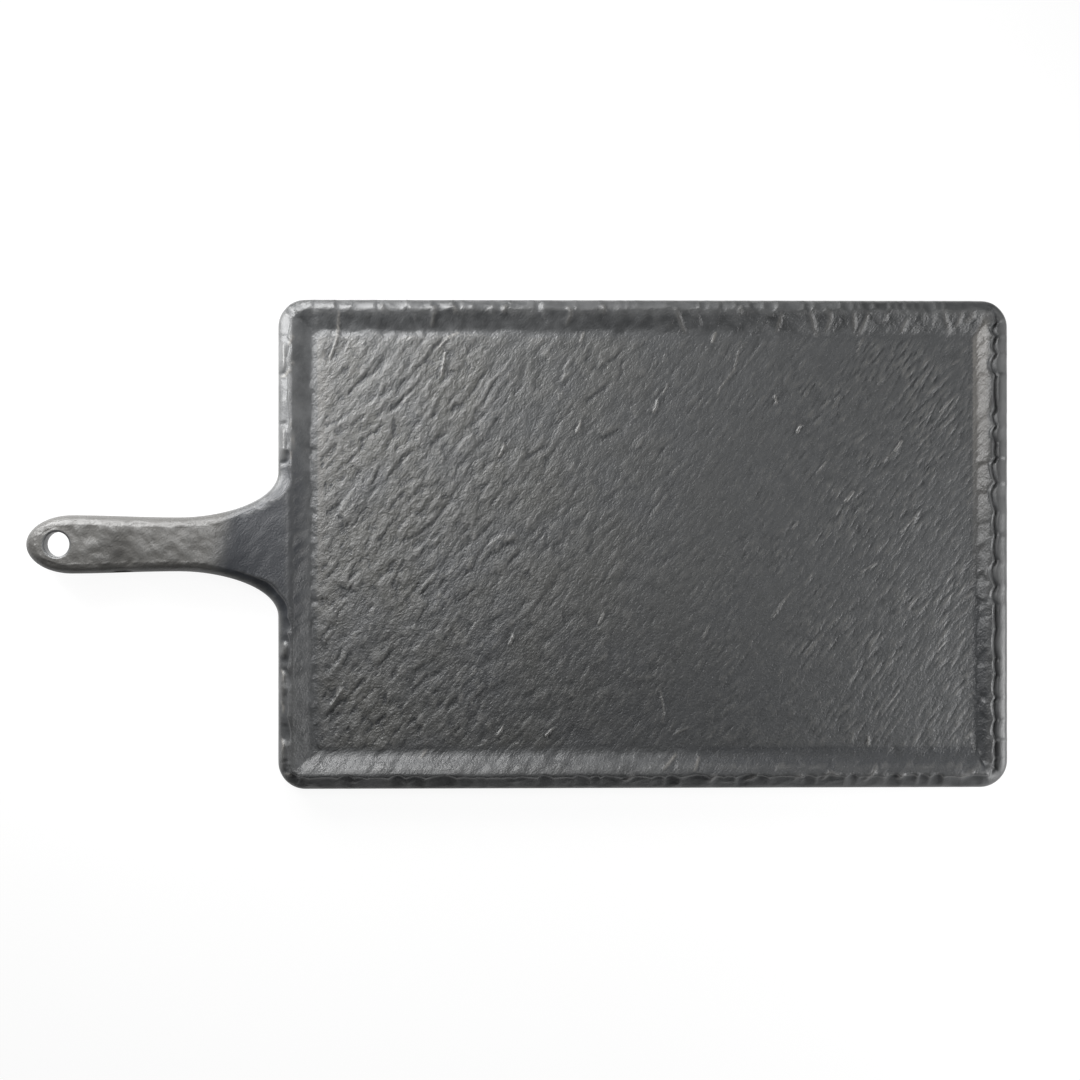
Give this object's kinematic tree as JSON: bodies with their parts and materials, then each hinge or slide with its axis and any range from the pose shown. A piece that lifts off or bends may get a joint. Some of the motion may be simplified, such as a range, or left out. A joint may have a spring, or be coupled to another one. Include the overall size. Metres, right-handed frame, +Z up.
{
  "type": "serving paddle",
  "caption": "Rectangular slate-look serving paddle with a shallow recessed field, a raised knapped rim and a flared, lifted handle with a hanging hole, on non-slip feet.",
  "frame": {"origin": "middle of the outline, handle included, on the surface that the feet stand on", "axes": "+X from the handle's tip to the far end of the board, +Y across the board, +Z up out of the serving field"},
  "size_m": [0.5, 0.25, 0.0205],
  "materials": {
    "melamine": "satin",
    "silicone": "matte",
    "adhesive": "satin"
  },
  "bodies": {
    "root": {"paddle_board": "melamine", "foot_front_left": "silicone", "foot_front_right": "silicone", "foot_back_left": "silicone", "foot_back_right": "silicone", "adhesive_front_left": "adhesive", "adhesive_front_right": "adhesive", "adhesive_back_left": "adhesive", "adhesive_back_right": "adhesive"}
  },
  "joints": []
}
